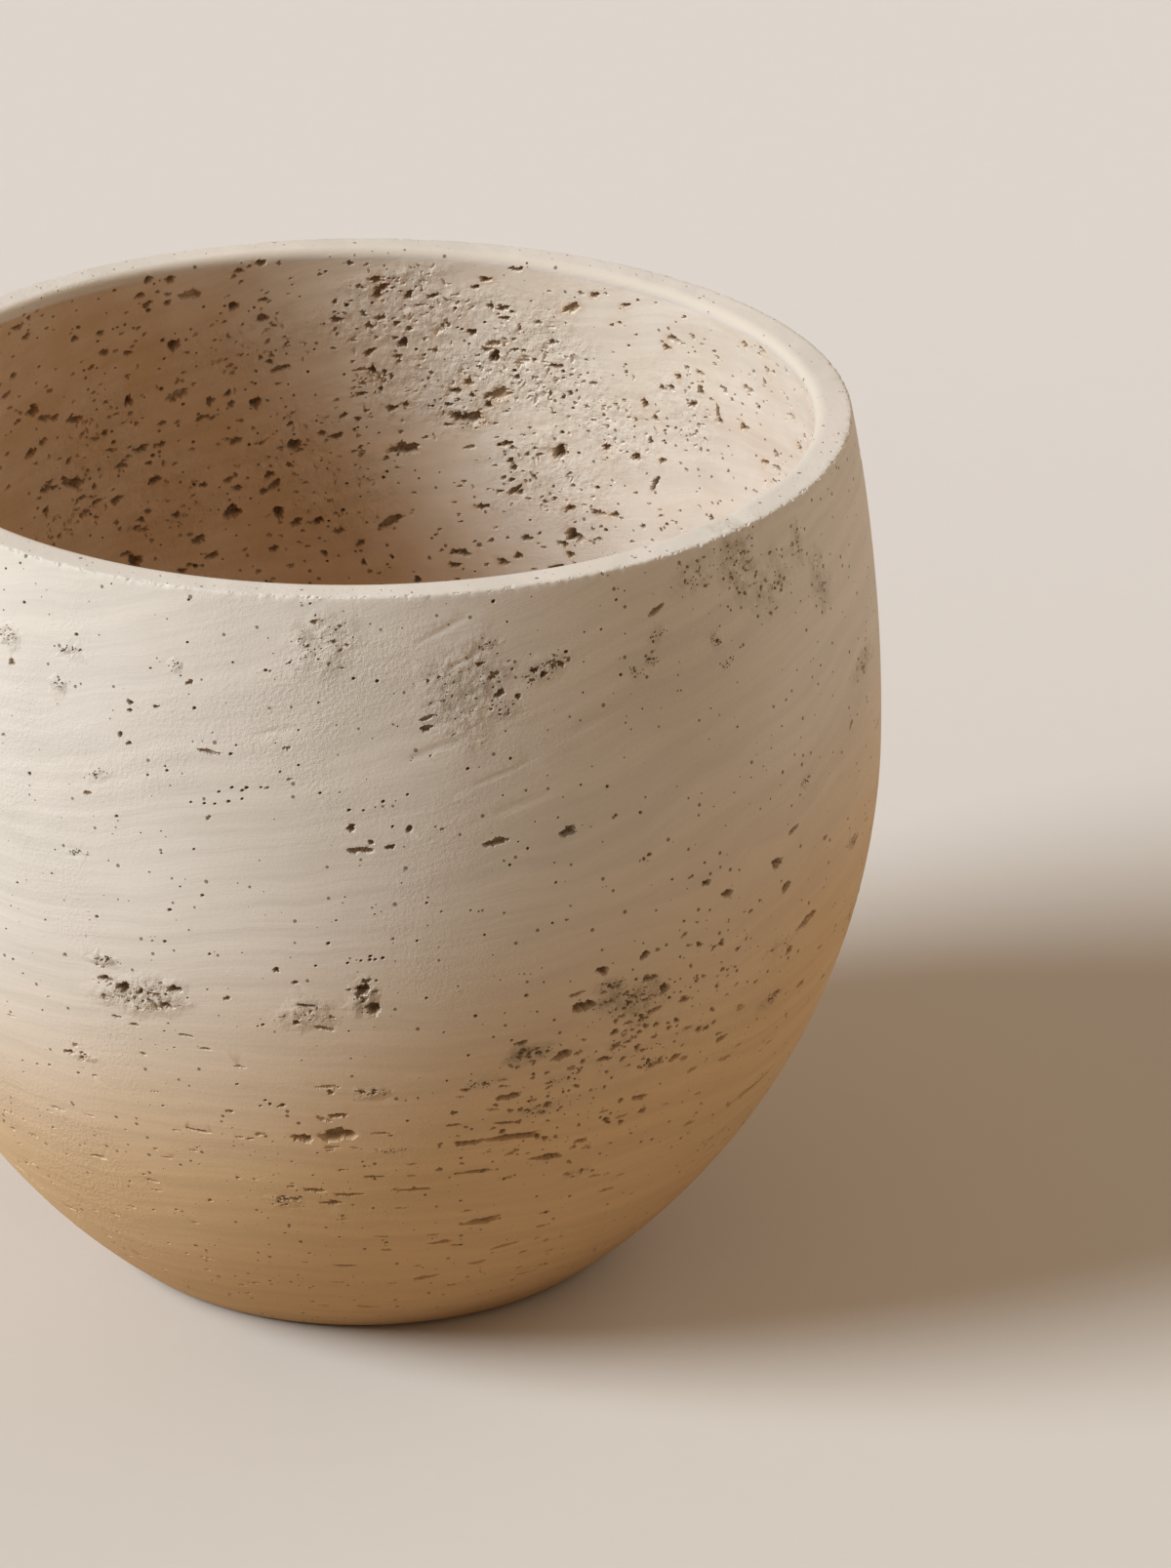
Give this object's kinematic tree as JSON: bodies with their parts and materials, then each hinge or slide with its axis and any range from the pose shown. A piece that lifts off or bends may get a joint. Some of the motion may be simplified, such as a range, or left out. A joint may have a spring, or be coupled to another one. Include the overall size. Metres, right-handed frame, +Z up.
{
  "type": "flower pot",
  "caption": "Wide egg-shaped flower pot of pitted stone with an open mouth, a flat rim and a lined drain hole with a pull-out plug and a lift-out screen.",
  "frame": {"origin": "centre of the foot, on the surface that the pot stands on", "axes": "+Z up the axis of the pot; +X and +Y level, each midway between two foot pads"},
  "size_m": [0.4199, 0.42, 0.3555],
  "materials": {
    "stone": "honed, pitted, cream above and ochre below",
    "sleeve_plastic": "moulded, matt",
    "plug_rubber": "moulded, matt",
    "screen_plastic": "moulded, fine grain",
    "pad_rubber": "matt"
  },
  "bodies": {
    "pot": {"pot_shell": "stone", "drain_sleeve": "sleeve_plastic", "foot_pad_1": "pad_rubber", "foot_pad_2": "pad_rubber", "foot_pad_3": "pad_rubber", "foot_pad_4": "pad_rubber"},
    "plug": {"drain_plug": "plug_rubber"},
    "screen": {"drain_screen": "screen_plastic"}
  },
  "joints": [
    {"name": "plug_pull", "type": "slide", "parent": "pot", "child": "plug", "axis": [0, 0, -1], "range_m": [0, 0.022]},
    {"name": "screen_lift", "type": "slide", "parent": "pot", "child": "screen", "axis": [0, 0, 1], "range_m": [0, 0.335]}
  ]
}
